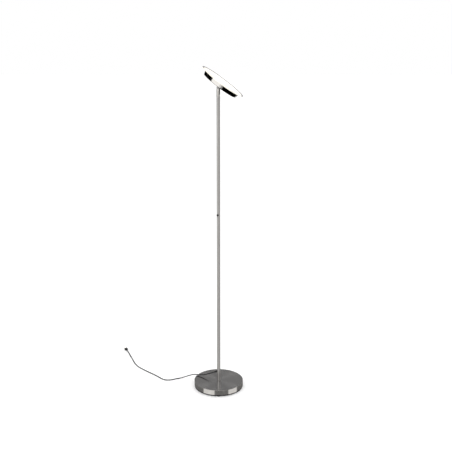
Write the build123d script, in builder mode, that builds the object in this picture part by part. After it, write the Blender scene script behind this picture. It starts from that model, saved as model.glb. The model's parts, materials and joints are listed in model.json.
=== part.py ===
from build123d import *
import os
from math import cos, pi, radians, sin, tan

# A torchiere floor lamp: a round weighted base, a slim pole in four screwed sections with a
# push-button dimmer, and a flat LED head that tilts on a clevis at the pole's top.
# Millimetres, +Z up. The origin is on the floor under the centre of the base, and the head
# leans towards +X. A viewer in front of the lamp looks along +Y.

os.makedirs("parts", exist_ok=True)

# --- driving dimensions -----------------------------------------------------------------

# whole lamp
lamp_height = 1797          # floor to the rim, with the head level
head_lean = 36.4            # degrees from level, at rest
fit_gap = 0.05              # radial gap of a push fit or a running fit
loose_gap = 0.3             # gap round a piece that drops into place

# base
base_diameter = 285
base_top = 39               # height of the cover's top face above the floor
cover_wall = 1.2
cover_edge = 1.0            # outer rounding of the cover's top edge
pad_height = 3.5
pad_radius = 12.5
pad_count = 6
pad_inset = 15.5            # the pads' centres from the base's side
tray_edge = 6.5             # height of the tray's edge that shows under the cover
tray_inset = 1.0            # the tray's edge stands this far inside the cover's side
tray_wall = 2.5
tray_floor = 2.0
tray_lip = 4.0              # the lip that the cover drops over
tray_opening = 20           # radius of the spanner hole
weight_clearance = 8.5      # between the weight and the tray's wall
weight_height = 14
weight_recess = 8
weight_chamfer = 1
recess_clearance = 3        # round the washer
hub_radius = 15
bolt_radius = 5
bolt_head_height = 6.4
bolt_head_flats = 17
bolt_grip = 25              # how far the bolt reaches into the pole
bolt_chamfer = 1
washer_radius = 12
washer_height = 2
screw_inset = 28            # the tray screws' centres from the weight's side
screw_count = 3
screw_radius = 2
screw_head_radius = 3.8
screw_head_height = 1.9
screw_length = 9            # reach above the tray's underside

# pole
pole_diameter = 20
pole_wall = 1.0
section_names = ("pole_bottom", "pole_lower", "pole_upper", "pole_top")
seam_chamfer = 0.3
insert_length = 30
coupler_length = 44
coupler_wall = 3            # from the pole's bore to the coupler's own
coupler_chamfer = 0.6

# cord exit, on the back left of the bottom section
exit_above_base = 52
exit_turn = 156             # degrees from +X
exit_fall = 26              # degrees below level
cord_diameter = 5.6
neck_wall = 1.2             # the gland's wall round the cord, through the pole's wall
collar_overhang = 1.6       # the collar's step outside the neck
collar_height = 3.5
collar_slope = 1.5          # height and depth of the step from collar to sleeve
tip_wall = 0.6
gland_length = 22           # from the pole's surface to the tip
gland_inside = 3.0          # how far the neck reaches in from the pole's surface
gland_run = 34              # the cord's straight start, in line with the gland

# dimmer, in the third section
dimmer_above_seam = 173.5
dimmer_turn = 240           # degrees from +X: front left
dimmer_travel = 1.0
button_radius = 5.2
button_proud = 2.6          # the face stands this far out of the pole's surface
button_edge = 1.2           # rounding of the face's edge
flange_overhang = 0.8       # the flange behind the bezel holds the button in
flange_thickness = 1.35
bezel_wall = 1.4
bezel_proud = 1.2
bezel_depth = 2.2           # how far the bezel reaches in from the pole's surface
bezel_edge = 0.6
housing_length = 44
housing_chamfer = 0.8
board_thickness = 1.2
board_inset = 3             # the board's sides from the pole's bore
board_length = 30
switch_side = 5
switch_body = 0.9           # height of the switch's body
switch_stem = 1.5           # radius of its stem
switch_height = 1.5
switch_slack = 0.2          # left over the stem when the button is pressed home
spring_radius = 4.3
spring_wire = 0.3

# tilt joint
fork_length = 45            # from the top section's end to the pivot
spigot_length = 25
head_lead_end = 1           # the head lead stops this far below the slot's floor
tongue_thickness = 5
tongue_radius = 8
friction_washer = 0.6       # thickness
friction_washer_radius = 7
slide_gap = 0.1             # each side of the tongue
tongue_clearance = 2        # under the tongue, down to the slot's floor
fork_web = 4                # solid stretch under the slot's floor
lead_hole = 2               # radius of the head lead's hole through it
pivot_radius = 2.5
pivot_head_radius = 4.2
pivot_head_height = 2.6
pivot_sink = 1.2            # the bolt's head and the nut lie below the pole's outline
key_flats = 3               # the hexagon key's size
key_depth = 1.6
nut_flats = 8

# head, heights measured from the pivot along the head's own axis
dish_clearance = 2          # between the fork's rounded top and the dish
dish_depth = 22
dish_radius = 110           # at the dish's open edge
dish_flare = 6              # how much wider the dish is at its edge than at its foot
dish_wall = 1.0
dish_corner = 4
flange_radius = 22
flange_height = 2.5
rivet_inset = 6             # the rivets' centres from the flange's edge
rivet_count = 3
rivet_radius = 1.6
rivet_head_radius = 3.0
rivet_head_height = 0.9
driver_width = 40
driver_height = 10
driver_corner = 3
driver_chamfer = 0.8
driver_gap = 8              # from the flange's edge
driver_inset = 12           # from the foot of the dish's side
terminal_length = 20
terminal_width = 14
terminal_height = 9
terminal_gap = 13           # from the flange's edge
terminal_hole = 1.8         # radius
terminal_depth = 2
plate_inset = 4             # the plate's edge from the dish's mouth
pillar_inset = 18           # the pillars' centres from the plate's edge
pillar_count = 3
pillar_radius = 3.5
driver_headroom = 2         # between the driver and the plate
plate_thickness = 1.5
plate_screw_radius = 1.5
plate_screw_head = 2.9
plate_screw_head_height = 1.8
plate_screw_grip = 7.2      # reach into the pillar
board_inner = 30
board_edge = 8              # the LED board's edge from the plate's
led_board_thickness = 1.2
led_inner_ring = 15         # the inner ring of LEDs, from the board's inner edge
led_inner_count = 12
led_outer_ring = 27         # the outer ring, from the board's outer edge
led_outer_count = 24
led_side = 3
led_height = 0.8
clip_inset = 3.5            # the clips' centres from the plate's edge
clip_turn = 60              # degrees, halfway between the pillars
clip_thickness = 0.6
clip_width = 8
clip_rise = 2.5             # above the dish's edge
rim_overhang = 25           # the rim beyond the dish's edge
rim_rise = 9                # from the dish's edge to the rim
rim_edge = 3.5              # height of the rim's outer edge
rim_land = 2
rim_rounding = 1
opal_overhang = 9           # the opal cover beyond the dish's edge
opal_wall = 1.8
opal_below_rim = 1.5
opal_spigot = 2.0           # how far the opal cover reaches down into the dish
spigot_inset = 1.5          # the spigot's side from the dish's mouth
opal_rounding = 0.8
opal_slack = 0.2            # between the opal cover and the rim under it

# mains cord on the floor and its plug: every point is chosen by eye, in the order it runs
cord_lift = 0.2             # the cord's lowest point above the floor
plug_axis_height = 6.3
plug_place = (-591, 488)
plug_turn = 112             # degrees from +X, the way the pins point
plug_run = 30               # the cord's straight end, in line with the plug
plug_length = 26
plug_width = 20
plug_height = 12
plug_corner = 4.5
plug_taper = 1              # the plug's face is this much narrower than its shoulder
plug_neck_width = 10.5
plug_neck_height = 9.6
plug_neck_corner = 4
plug_neck_place = 8         # from the plug's back
plug_shoulder = 15          # from the plug's back
plug_tail_wall = 1.4        # round the cord, at the plug's back
pin_thickness = 1.5
pin_width = 6.3
pin_length = 16
pin_spacing = 12.7
pin_rounding = 1.5

# --- places worked out from them --------------------------------------------------------

base_radius = base_diameter / 2
pole_radius = pole_diameter / 2
pole_bore = pole_radius - pole_wall
coupler_bore = pole_bore - coupler_wall
dish_floor = pole_radius + dish_clearance
head_stack = dish_floor + dish_depth + rim_rise
pivot_height = lamp_height - head_stack
fork_seat = pivot_height - fork_length
section_length = (fork_seat - base_top) / len(section_names)
seams = [base_top + section_length * number for number in range(len(section_names) + 1)]
tray_under = pad_height
tray_shoulder = tray_under + tray_edge
tray_radius = base_radius - tray_inset
pad_circle = base_radius - pad_inset
weight_radius = tray_radius - tray_wall - weight_clearance
weight_recess_radius = washer_radius + recess_clearance
screw_circle = weight_radius - screw_inset
weight_seat = tray_under + tray_floor
weight_top = weight_seat + weight_height
recess_top = weight_seat + weight_recess
bolt_seat = recess_top - washer_height
hub_top = base_top - cover_wall
slot_half = tongue_thickness / 2 + slide_gap + friction_washer
fork_floor = tongue_radius + tongue_clearance
pivot_seat = pole_radius - pivot_sink - pivot_head_height
pivot_end = pivot_seat + pivot_head_height

lean = radians(head_lean)
head_axis_way = (sin(lean), 0, cos(lean))
head_across_way = (cos(lean), 0, -sin(lean))
pivot = (0, 0, pivot_height)
head_level = Plane(origin=pivot, x_dir=head_across_way, z_dir=head_axis_way)
head_section = Plane(origin=pivot, x_dir=head_across_way, z_dir=(0, -1, 0))
head_axis = Axis(pivot, head_axis_way)
tilt_plane = Plane(origin=pivot, x_dir=(1, 0, 0), z_dir=(0, -1, 0))
dish_inside = dish_floor + dish_wall
dish_edge = dish_floor + dish_depth
dish_foot_radius = dish_radius - dish_flare
rivet_circle = flange_radius - rivet_inset
pillar_height = driver_height + driver_headroom
plate_seat = dish_inside + pillar_height
board_seat = plate_seat + plate_thickness
led_seat = board_seat + led_board_thickness
rim_top = dish_edge + rim_rise
rim_radius = dish_radius + rim_overhang
opal_top = rim_top - opal_below_rim
opal_radius = dish_radius + opal_overhang
dish_mouth = dish_radius - dish_wall
plate_radius = dish_mouth - plate_inset
pillar_circle = plate_radius - pillar_inset
clip_circle = plate_radius - clip_inset
board_outer = plate_radius - board_edge
led_rings = (
    (board_inner + led_inner_ring, led_inner_count),
    (board_outer - led_outer_ring, led_outer_count),
)
driver_length = dish_foot_radius - driver_inset - flange_radius - driver_gap
driver_place = -(flange_radius + driver_gap + driver_length / 2)
terminal_place = flange_radius + terminal_gap + terminal_length / 2
opal_spigot_radius = dish_mouth - spigot_inset
rim_bore = opal_spigot_radius + loose_gap
rim_slope = (rim_rise - rim_edge) / (rim_radius - dish_radius)

exit_way = (
    cos(radians(exit_turn)) * cos(radians(exit_fall)),
    sin(radians(exit_turn)) * cos(radians(exit_fall)),
    -sin(radians(exit_fall)),
)
exit_side = (sin(radians(exit_turn)), -cos(radians(exit_turn)), 0)
exit_height = base_top + exit_above_base
exit_point = (
    pole_radius * cos(radians(exit_turn)),
    pole_radius * sin(radians(exit_turn)),
    exit_height,
)
gland_axis = Axis(exit_point, exit_way)
gland_face = Plane(origin=exit_point, x_dir=exit_side, z_dir=exit_way)
gland_section = Plane(origin=exit_point, x_dir=exit_way, z_dir=exit_side)
gland_tip = tuple(Vector(*exit_point) + Vector(*exit_way) * gland_length)
gland_lead = tuple(Vector(*gland_tip) + Vector(*exit_way) * gland_run)
gland_neck = cord_diameter / 2 + neck_wall
gland_collar = gland_neck + collar_overhang
gland_tip_radius = cord_diameter / 2 + tip_wall
gland_saddle = 3 * pole_radius   # half height of the cut that seats the gland on the pole

dimmer_height = seams[2] + dimmer_above_seam
dimmer_way = (cos(radians(dimmer_turn)), sin(radians(dimmer_turn)), 0)
dimmer_side = (-sin(radians(dimmer_turn)), cos(radians(dimmer_turn)), 0)
dimmer_face = Plane(origin=(0, 0, dimmer_height), x_dir=dimmer_side, z_dir=dimmer_way)
dimmer_section = Plane(origin=(0, 0, dimmer_height), x_dir=dimmer_way, z_dir=(0, 0, 1))
dimmer_axis = Axis((0, 0, dimmer_height), dimmer_way)
bezel_inner = pole_radius - bezel_depth
bezel_outer = pole_radius + bezel_proud
bezel_radius = button_radius + bezel_wall
button_face = pole_radius + button_proud
button_flange = button_radius + flange_overhang
button_front = bezel_inner - fit_gap
button_back = button_front - flange_thickness
switch_top = button_back - dimmer_travel - switch_slack
board_face = switch_top - switch_height
housing_flat = board_face - board_thickness
board_width = 2 * (pole_bore - board_inset)
housing_radius = pole_bore - loose_gap
housing_foot = dimmer_height - housing_length / 2
housing_head = dimmer_height + housing_length / 2

cord_floor = cord_diameter / 2 + cord_lift
plug_end = (plug_place[0], plug_place[1], plug_axis_height)
plug_way = (cos(radians(plug_turn)), sin(radians(plug_turn)), 0)
plug_side = (sin(radians(plug_turn)), -cos(radians(plug_turn)), 0)
plug_back = Plane(origin=plug_end, x_dir=plug_side, z_dir=plug_way)
plug_axis = Axis(plug_end, plug_way)
plug_tail = cord_diameter + 2 * plug_tail_wall
plug_lead = tuple(Vector(*plug_end) - Vector(*plug_way) * plug_run)

cord_route = [
    gland_tip,
    gland_lead,
    (-88, 40, 53),
    (-117, 51.5, 49),
    (-146, 63, 47),
    (-174, 74, 34),
    (-203, 84.5, 17),
    (-229, 91, cord_floor + 1.5),
    (-256, 85, cord_floor),
    (-284, 69, cord_floor),
    (-315, 66.5, cord_floor),
    (-340, 82, cord_floor),
    (-366, 114.5, cord_floor),
    (-399, 149, cord_floor),
    (-436, 184, cord_floor),
    (-472, 221.5, cord_floor),
    (-502, 257, cord_floor),
    (-524, 301, cord_floor),
    (-541, 352, cord_floor),
    (-559, 405, cord_floor),
    plug_lead,
    plug_end,
]


def bend_radii(route):
    """Each corner's radius: 0.45 of its shorter run over the tangent of half its turn."""
    radii = []
    for before, corner, after in zip(route, route[1:], route[2:]):
        run_in = Vector(*corner) - Vector(*before)
        run_out = Vector(*after) - Vector(*corner)
        half_turn = radians(run_in.get_angle(run_out)) / 2
        radii.append(0.45 * min(run_in.length, run_out.length) / tan(half_turn))
    return radii


# --- base -------------------------------------------------------------------------------

with BuildPart() as foot_pads:
    with BuildSketch(Plane.XY):
        with PolarLocations(pad_circle, pad_count, start_angle=90):
            Circle(pad_radius)
    extrude(amount=pad_height)
foot_pads.part.label = "foot_pads"
export_step(foot_pads.part, "parts/foot_pads.step")

with BuildPart() as base_tray:
    with BuildSketch(Plane.XY.offset(tray_under)):
        Circle(tray_radius)
        Circle(tray_opening, mode=Mode.SUBTRACT)
        with PolarLocations(screw_circle, screw_count):
            Circle(screw_radius + fit_gap, mode=Mode.SUBTRACT)
    extrude(amount=tray_floor)
    with BuildSketch(Plane.XY.offset(tray_under)):
        Circle(tray_radius)
        Circle(tray_radius - tray_wall, mode=Mode.SUBTRACT)
    extrude(amount=tray_edge)
    with BuildSketch(Plane.XY.offset(tray_shoulder)):
        Circle(base_radius - cover_wall - loose_gap)
        Circle(tray_radius - tray_wall, mode=Mode.SUBTRACT)
    extrude(amount=tray_lip)
base_tray.part.label = "base_tray"
export_step(base_tray.part, "parts/base_tray.step")

with BuildPart() as base_weight:
    with BuildSketch(Plane.XY.offset(weight_seat)):
        Circle(weight_radius)
        Circle(bolt_radius + loose_gap, mode=Mode.SUBTRACT)
        with PolarLocations(screw_circle, screw_count):
            Circle(screw_radius + fit_gap, mode=Mode.SUBTRACT)
    extrude(amount=weight_height)
    with BuildSketch(Plane.XY.offset(weight_seat)):
        Circle(weight_recess_radius)
    extrude(amount=weight_recess, mode=Mode.SUBTRACT)
    chamfer(base_weight.edges().filter_by(GeomType.CIRCLE).sort_by(SortBy.LENGTH)[-2:], weight_chamfer)
base_weight.part.label = "base_weight"
export_step(base_weight.part, "parts/base_weight.step")

with BuildPart() as tray_screws:
    with BuildSketch(Plane.XY.offset(tray_under)):
        with PolarLocations(screw_circle, screw_count):
            Circle(screw_radius)
    extrude(amount=screw_length)
    with BuildSketch(Plane.XY.offset(tray_under)):
        with PolarLocations(screw_circle, screw_count):
            Circle(screw_head_radius)
    extrude(amount=-screw_head_height)
tray_screws.part.label = "tray_screws"
export_step(tray_screws.part, "parts/tray_screws.step")

with BuildPart() as base_washer:
    with BuildSketch(Plane.XY.offset(bolt_seat)):
        Circle(washer_radius)
        Circle(bolt_radius + loose_gap, mode=Mode.SUBTRACT)
    extrude(amount=washer_height)
base_washer.part.label = "base_washer"
export_step(base_washer.part, "parts/base_washer.step")

with BuildPart() as base_bolt:
    with BuildSketch(Plane.XY.offset(bolt_seat)):
        RegularPolygon(bolt_head_flats / 2, 6, major_radius=False)
    extrude(amount=-bolt_head_height)
    with BuildSketch(Plane.XY.offset(bolt_seat)):
        Circle(bolt_radius)
    extrude(amount=base_top + bolt_grip - bolt_seat)
    chamfer(base_bolt.edges().filter_by(GeomType.CIRCLE).group_by(Axis.Z)[-1], bolt_chamfer)
base_bolt.part.label = "base_bolt"
export_step(base_bolt.part, "parts/base_bolt.step")

with BuildPart() as base_hub:
    with BuildSketch(Plane.XY.offset(weight_top)):
        Circle(hub_radius)
        Circle(bolt_radius + loose_gap, mode=Mode.SUBTRACT)
    extrude(amount=hub_top - weight_top)
base_hub.part.label = "base_hub"
export_step(base_hub.part, "parts/base_hub.step")

with BuildPart() as base_cover:
    with BuildSketch(Plane.XY.offset(tray_shoulder)):
        Circle(base_radius)
    extrude(amount=base_top - tray_shoulder)
    offset(amount=-cover_wall, openings=base_cover.faces().sort_by(Axis.Z)[0])
    fillet(base_cover.edges().group_by(Axis.Z)[-1], cover_edge)
    with BuildSketch(Plane.XY.offset(base_top)):
        Circle(bolt_radius + loose_gap)
    extrude(amount=-cover_wall, mode=Mode.SUBTRACT)
base_cover.part.label = "base_cover"
export_step(base_cover.part, "parts/base_cover.step")

# --- pole -------------------------------------------------------------------------------

with BuildPart() as pole_insert:
    with BuildSketch(Plane.XY.offset(base_top)):
        Circle(pole_bore - fit_gap)
        Circle(bolt_radius + fit_gap, mode=Mode.SUBTRACT)
    extrude(amount=insert_length)
pole_insert.part.label = "pole_insert"
export_step(pole_insert.part, "parts/pole_insert.step")

for low, high, name in zip(seams, seams[1:], section_names):
    with BuildPart() as pole_section:
        with BuildSketch(Plane.XY.offset(low)):
            Circle(pole_radius)
            Circle(pole_bore, mode=Mode.SUBTRACT)
        extrude(amount=high - low)
        ends = pole_section.edges().filter_by(GeomType.CIRCLE)
        outer_ends = [edge for edge in ends if edge.radius > (pole_radius + pole_bore) / 2]
        chamfer(outer_ends, seam_chamfer)
        if name == "pole_bottom":
            with BuildSketch(gland_face):
                Circle(gland_neck + fit_gap)
            extrude(amount=pole_radius / 2, both=True, mode=Mode.SUBTRACT)
        if name == "pole_upper":
            with BuildSketch(dimmer_face):
                Circle(bezel_radius + fit_gap)
            extrude(amount=pole_radius + 1, mode=Mode.SUBTRACT)
    pole_section.part.label = name
    export_step(pole_section.part, f"parts/{name}.step")

for seam, place in zip(seams[1:], ("bottom", "middle", "top")):
    with BuildPart() as coupler:
        with BuildSketch(Plane.XY.offset(seam - coupler_length / 2)):
            Circle(pole_bore - fit_gap)
            Circle(coupler_bore, mode=Mode.SUBTRACT)
        extrude(amount=coupler_length)
        chamfer(coupler.edges().filter_by(GeomType.CIRCLE).group_by(Axis.Z)[-1], coupler_chamfer)
    coupler.part.label = f"coupler_{place}"
    export_step(coupler.part, f"parts/coupler_{place}.step")

# --- cord exit --------------------------------------------------------------------------

with BuildPart() as cord_gland:
    with BuildSketch(gland_section):
        with BuildLine():
            Polyline(
                (-pole_radius, 0),
                (-pole_radius, gland_collar),
                (collar_height, gland_collar),
                (collar_height + collar_slope, gland_collar - collar_slope),
                (gland_length, gland_tip_radius),
                (gland_length, 0),
                close=True,
            )
        make_face()
    revolve(axis=gland_axis)
    with BuildSketch(Plane.XY.offset(exit_height - gland_saddle)):
        Circle(pole_radius + fit_gap)
    extrude(amount=2 * gland_saddle, mode=Mode.SUBTRACT)
    with BuildSketch(gland_face.offset(-gland_inside)):
        Circle(gland_neck)
    extrude(amount=gland_inside + collar_height)
cord_gland.part.label = "cord_gland"
export_step(cord_gland.part, "parts/cord_gland.step")

# --- dimmer -----------------------------------------------------------------------------

with BuildPart() as dimmer_bezel:
    with BuildSketch(dimmer_face.offset(bezel_inner)):
        Circle(bezel_radius)
        Circle(button_radius + 2 * fit_gap, mode=Mode.SUBTRACT)
    extrude(amount=bezel_outer - bezel_inner)
    fillet(dimmer_bezel.edges().filter_by(GeomType.CIRCLE).sort_by(SortBy.LENGTH)[-1], bezel_edge)
dimmer_bezel.part.label = "dimmer_bezel"
export_step(dimmer_bezel.part, "parts/dimmer_bezel.step")

with BuildPart() as dimmer_button:
    with BuildSketch(dimmer_section) as button_profile:
        with BuildLine():
            Polyline(
                (button_face, 0),
                (button_back, 0),
                (button_back, button_flange),
                (button_front, button_flange),
                (button_front, button_radius),
                (button_face, button_radius),
                close=True,
            )
        make_face()
        fillet(button_profile.vertices().group_by(Axis.X)[-1].sort_by(Axis.Y)[-1], button_edge)
    revolve(axis=dimmer_axis)
dimmer_button.part.label = "dimmer_button"
export_step(dimmer_button.part, "parts/dimmer_button.step")

with BuildPart() as dimmer_housing:
    with BuildSketch(Plane.XY.offset(housing_foot)):
        Circle(housing_radius)
    extrude(amount=housing_length)
    chamfer(dimmer_housing.edges().filter_by(GeomType.CIRCLE), housing_chamfer)
    with BuildSketch(dimmer_face.offset(housing_flat)):
        Rectangle(2 * pole_radius, 2 * housing_length)
    extrude(amount=pole_radius, mode=Mode.SUBTRACT)
dimmer_housing.part.label = "dimmer_housing"
export_step(dimmer_housing.part, "parts/dimmer_housing.step")

with BuildPart() as dimmer_board:
    with BuildSketch(dimmer_face.offset(housing_flat)):
        Rectangle(board_width, board_length)
    extrude(amount=board_thickness)
dimmer_board.part.label = "dimmer_board"
export_step(dimmer_board.part, "parts/dimmer_board.step")

with BuildPart() as dimmer_switch:
    with BuildSketch(dimmer_face.offset(board_face)):
        Rectangle(switch_side, switch_side)
    extrude(amount=switch_body)
    with BuildSketch(dimmer_face.offset(board_face)):
        Circle(switch_stem)
    extrude(amount=switch_height)
dimmer_switch.part.label = "dimmer_switch"
export_step(dimmer_switch.part, "parts/dimmer_switch.step")

with BuildPart() as dimmer_spring:
    with BuildSketch(dimmer_section):
        with BuildLine():
            Polyline(
                (board_face, spring_radius + spring_wire),
                (button_back, spring_radius),
                (button_back, spring_radius - spring_wire),
                (board_face, spring_radius),
                close=True,
            )
        make_face()
    revolve(axis=dimmer_axis)
dimmer_spring.part.label = "dimmer_spring"
export_step(dimmer_spring.part, "parts/dimmer_spring.step")

# --- tilt joint -------------------------------------------------------------------------

with BuildPart() as tilt_fork:
    with BuildSketch(Plane.XY.offset(fork_seat)):
        Circle(pole_radius)
    extrude(amount=fork_length + pole_radius)
    with BuildSketch(tilt_plane):
        Circle(pole_radius)
        with Locations((0, -fork_length / 2)):
            Rectangle(2 * pole_radius, fork_length)
    extrude(amount=pole_radius, both=True, mode=Mode.INTERSECT)
    with BuildSketch(Plane.XY.offset(fork_seat)):
        Circle(pole_bore - fit_gap)
    extrude(amount=-spigot_length)
    with BuildSketch(Plane.XY.offset(fork_seat - spigot_length)):
        Circle(coupler_bore)
    extrude(amount=spigot_length + fork_length - fork_floor - fork_web, mode=Mode.SUBTRACT)
    with BuildSketch(Plane.XY.offset(pivot_height - fork_floor - fork_web)):
        Circle(lead_hole)
    extrude(amount=fork_web, mode=Mode.SUBTRACT)
    with BuildSketch(tilt_plane):
        with Locations((0, pole_radius)):
            Rectangle(3 * pole_radius, 2 * (fork_floor + pole_radius))
    extrude(amount=slot_half, both=True, mode=Mode.SUBTRACT)
    with BuildSketch(tilt_plane):
        Circle(pivot_radius + fit_gap)
    extrude(amount=2 * pole_radius, both=True, mode=Mode.SUBTRACT)
    with BuildSketch(tilt_plane.offset(pivot_seat)):
        Circle(pivot_head_radius + loose_gap)
    extrude(amount=pole_radius, mode=Mode.SUBTRACT)
    with BuildSketch(tilt_plane.offset(-pivot_seat)):
        RegularPolygon(nut_flats / 2 + fit_gap, 6, major_radius=False)
    extrude(amount=-pole_radius, mode=Mode.SUBTRACT)
tilt_fork.part.label = "tilt_fork"
export_step(tilt_fork.part, "parts/tilt_fork.step")

with BuildPart() as tilt_bolt:
    with BuildSketch(tilt_plane.offset(-pivot_end)):
        Circle(pivot_radius)
    extrude(amount=2 * pivot_end)
    with BuildSketch(tilt_plane.offset(pivot_seat)):
        Circle(pivot_head_radius)
    extrude(amount=pivot_head_height)
    with BuildSketch(tilt_plane.offset(pivot_end)):
        RegularPolygon(key_flats / 2, 6, major_radius=False)
    extrude(amount=-key_depth, mode=Mode.SUBTRACT)
tilt_bolt.part.label = "tilt_bolt"
export_step(tilt_bolt.part, "parts/tilt_bolt.step")

with BuildPart() as tilt_nut:
    with BuildSketch(tilt_plane.offset(-pivot_seat)):
        RegularPolygon(nut_flats / 2, 6, major_radius=False)
        Circle(pivot_radius + fit_gap, mode=Mode.SUBTRACT)
    extrude(amount=-pivot_head_height)
tilt_nut.part.label = "tilt_nut"
export_step(tilt_nut.part, "parts/tilt_nut.step")

with BuildPart() as friction_washers:
    for side in (slot_half - friction_washer, -slot_half):
        with BuildSketch(tilt_plane.offset(side)):
            Circle(friction_washer_radius)
            Circle(pivot_radius + fit_gap, mode=Mode.SUBTRACT)
        extrude(amount=friction_washer)
friction_washers.part.label = "friction_washers"
export_step(friction_washers.part, "parts/friction_washers.step")

with BuildPart() as tilt_tongue:
    with BuildSketch(head_section):
        Circle(tongue_radius)
        with Locations((0, (dish_inside + flange_height) / 2)):
            Rectangle(2 * tongue_radius, dish_inside + flange_height)
        Circle(pivot_radius + fit_gap, mode=Mode.SUBTRACT)
    extrude(amount=tongue_thickness / 2, both=True)
    with BuildSketch(head_level.offset(dish_inside)):
        Circle(flange_radius)
        with PolarLocations(rivet_circle, rivet_count):
            Circle(rivet_radius + fit_gap, mode=Mode.SUBTRACT)
    extrude(amount=flange_height)
tilt_tongue.part.label = "tilt_tongue"
export_step(tilt_tongue.part, "parts/tilt_tongue.step")

with BuildPart() as tongue_rivets:
    with BuildSketch(head_level.offset(dish_floor)):
        with PolarLocations(rivet_circle, rivet_count):
            Circle(rivet_radius)
    extrude(amount=dish_wall + flange_height)
    with BuildSketch(head_level.offset(dish_floor)):
        with PolarLocations(rivet_circle, rivet_count):
            Circle(rivet_head_radius)
    extrude(amount=-rivet_head_height)
    with BuildSketch(head_level.offset(dish_inside + flange_height)):
        with PolarLocations(rivet_circle, rivet_count):
            Circle(rivet_head_radius)
    extrude(amount=rivet_head_height)
tongue_rivets.part.label = "tongue_rivets"
export_step(tongue_rivets.part, "parts/tongue_rivets.step")

# --- head -------------------------------------------------------------------------------

with BuildPart() as head_dish:
    with BuildSketch(head_section) as dish_profile:
        with BuildLine():
            Polyline(
                (0, dish_floor),
                (dish_foot_radius, dish_floor),
                (dish_radius, dish_edge),
                (dish_mouth, dish_edge),
                (dish_foot_radius - dish_wall, dish_inside),
                (0, dish_inside),
                close=True,
            )
        make_face()
        corners = dish_profile.vertices().group_by(Axis.Y)
        fillet(corners[0].sort_by(Axis.X)[-1], dish_corner)
        fillet(corners[1].sort_by(Axis.X)[-1], dish_corner - dish_wall)
    revolve(axis=head_axis)
    with BuildSketch(head_level.offset(dish_floor)):
        Rectangle(2 * (tongue_radius + fit_gap), tongue_thickness + 2 * fit_gap)
        with PolarLocations(rivet_circle, rivet_count):
            Circle(rivet_radius + fit_gap)
    extrude(amount=dish_wall, mode=Mode.SUBTRACT)
head_dish.part.label = "head_dish"
export_step(head_dish.part, "parts/head_dish.step")

with BuildPart() as led_driver:
    with BuildSketch(head_level.offset(dish_inside)):
        with Locations((driver_place, 0)):
            RectangleRounded(driver_length, driver_width, driver_corner)
    extrude(amount=driver_height)
    chamfer(led_driver.faces().sort_by(Axis(pivot, head_axis_way))[-1].edges(), driver_chamfer)
led_driver.part.label = "led_driver"
export_step(led_driver.part, "parts/led_driver.step")

with BuildPart() as terminal_block:
    with BuildSketch(head_level.offset(dish_inside)):
        with Locations((terminal_place, 0)):
            Rectangle(terminal_length, terminal_width)
    extrude(amount=terminal_height)
    with BuildSketch(head_level.offset(dish_inside + terminal_height)):
        with Locations((terminal_place, 0)):
            with GridLocations(terminal_length / 2, terminal_width / 2, 2, 2):
                Circle(terminal_hole)
    extrude(amount=-terminal_depth, mode=Mode.SUBTRACT)
terminal_block.part.label = "terminal_block"
export_step(terminal_block.part, "parts/terminal_block.step")

with BuildPart() as plate_pillars:
    with BuildSketch(head_level.offset(dish_inside)):
        with PolarLocations(pillar_circle, pillar_count):
            Circle(pillar_radius)
            Circle(plate_screw_radius + fit_gap, mode=Mode.SUBTRACT)
    extrude(amount=pillar_height)
plate_pillars.part.label = "plate_pillars"
export_step(plate_pillars.part, "parts/plate_pillars.step")

with BuildPart() as led_plate:
    with BuildSketch(head_level.offset(plate_seat)):
        Circle(plate_radius)
        with PolarLocations(pillar_circle, pillar_count):
            Circle(plate_screw_radius + fit_gap, mode=Mode.SUBTRACT)
    extrude(amount=plate_thickness)
led_plate.part.label = "led_plate"
export_step(led_plate.part, "parts/led_plate.step")

with BuildPart() as plate_screws:
    with BuildSketch(head_level.offset(board_seat)):
        with PolarLocations(pillar_circle, pillar_count):
            Circle(plate_screw_head)
    extrude(amount=plate_screw_head_height)
    with BuildSketch(head_level.offset(board_seat)):
        with PolarLocations(pillar_circle, pillar_count):
            Circle(plate_screw_radius)
    extrude(amount=-plate_thickness - plate_screw_grip)
plate_screws.part.label = "plate_screws"
export_step(plate_screws.part, "parts/plate_screws.step")

with BuildPart() as led_board:
    with BuildSketch(head_level.offset(board_seat)):
        Circle(board_outer)
        Circle(board_inner, mode=Mode.SUBTRACT)
        with PolarLocations(pillar_circle, pillar_count):
            Circle(plate_screw_head + loose_gap, mode=Mode.SUBTRACT)
    extrude(amount=led_board_thickness)
led_board.part.label = "led_board"
export_step(led_board.part, "parts/led_board.step")

with BuildPart() as led_chips:
    with BuildSketch(head_level.offset(led_seat)):
        for ring_radius, count in led_rings:
            with PolarLocations(ring_radius, count):
                Rectangle(led_side, led_side)
    extrude(amount=led_height)
led_chips.part.label = "led_chips"
export_step(led_chips.part, "parts/led_chips.step")

with BuildPart() as cover_clips:
    clip_reach = opal_spigot_radius - opal_wall - loose_gap - clip_circle
    with BuildSketch(head_level.offset(board_seat)):
        with PolarLocations(clip_circle, pillar_count, start_angle=clip_turn):
            Rectangle(2 * clip_reach, clip_width)
    extrude(amount=clip_thickness)
    with BuildSketch(head_level.offset(board_seat)):
        clip_wall_circle = clip_circle + clip_reach - clip_thickness / 2
        with PolarLocations(clip_wall_circle, pillar_count, start_angle=clip_turn):
            Rectangle(clip_thickness, clip_width)
    extrude(amount=dish_edge + clip_rise - board_seat)
cover_clips.part.label = "cover_clips"
export_step(cover_clips.part, "parts/cover_clips.step")

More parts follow.
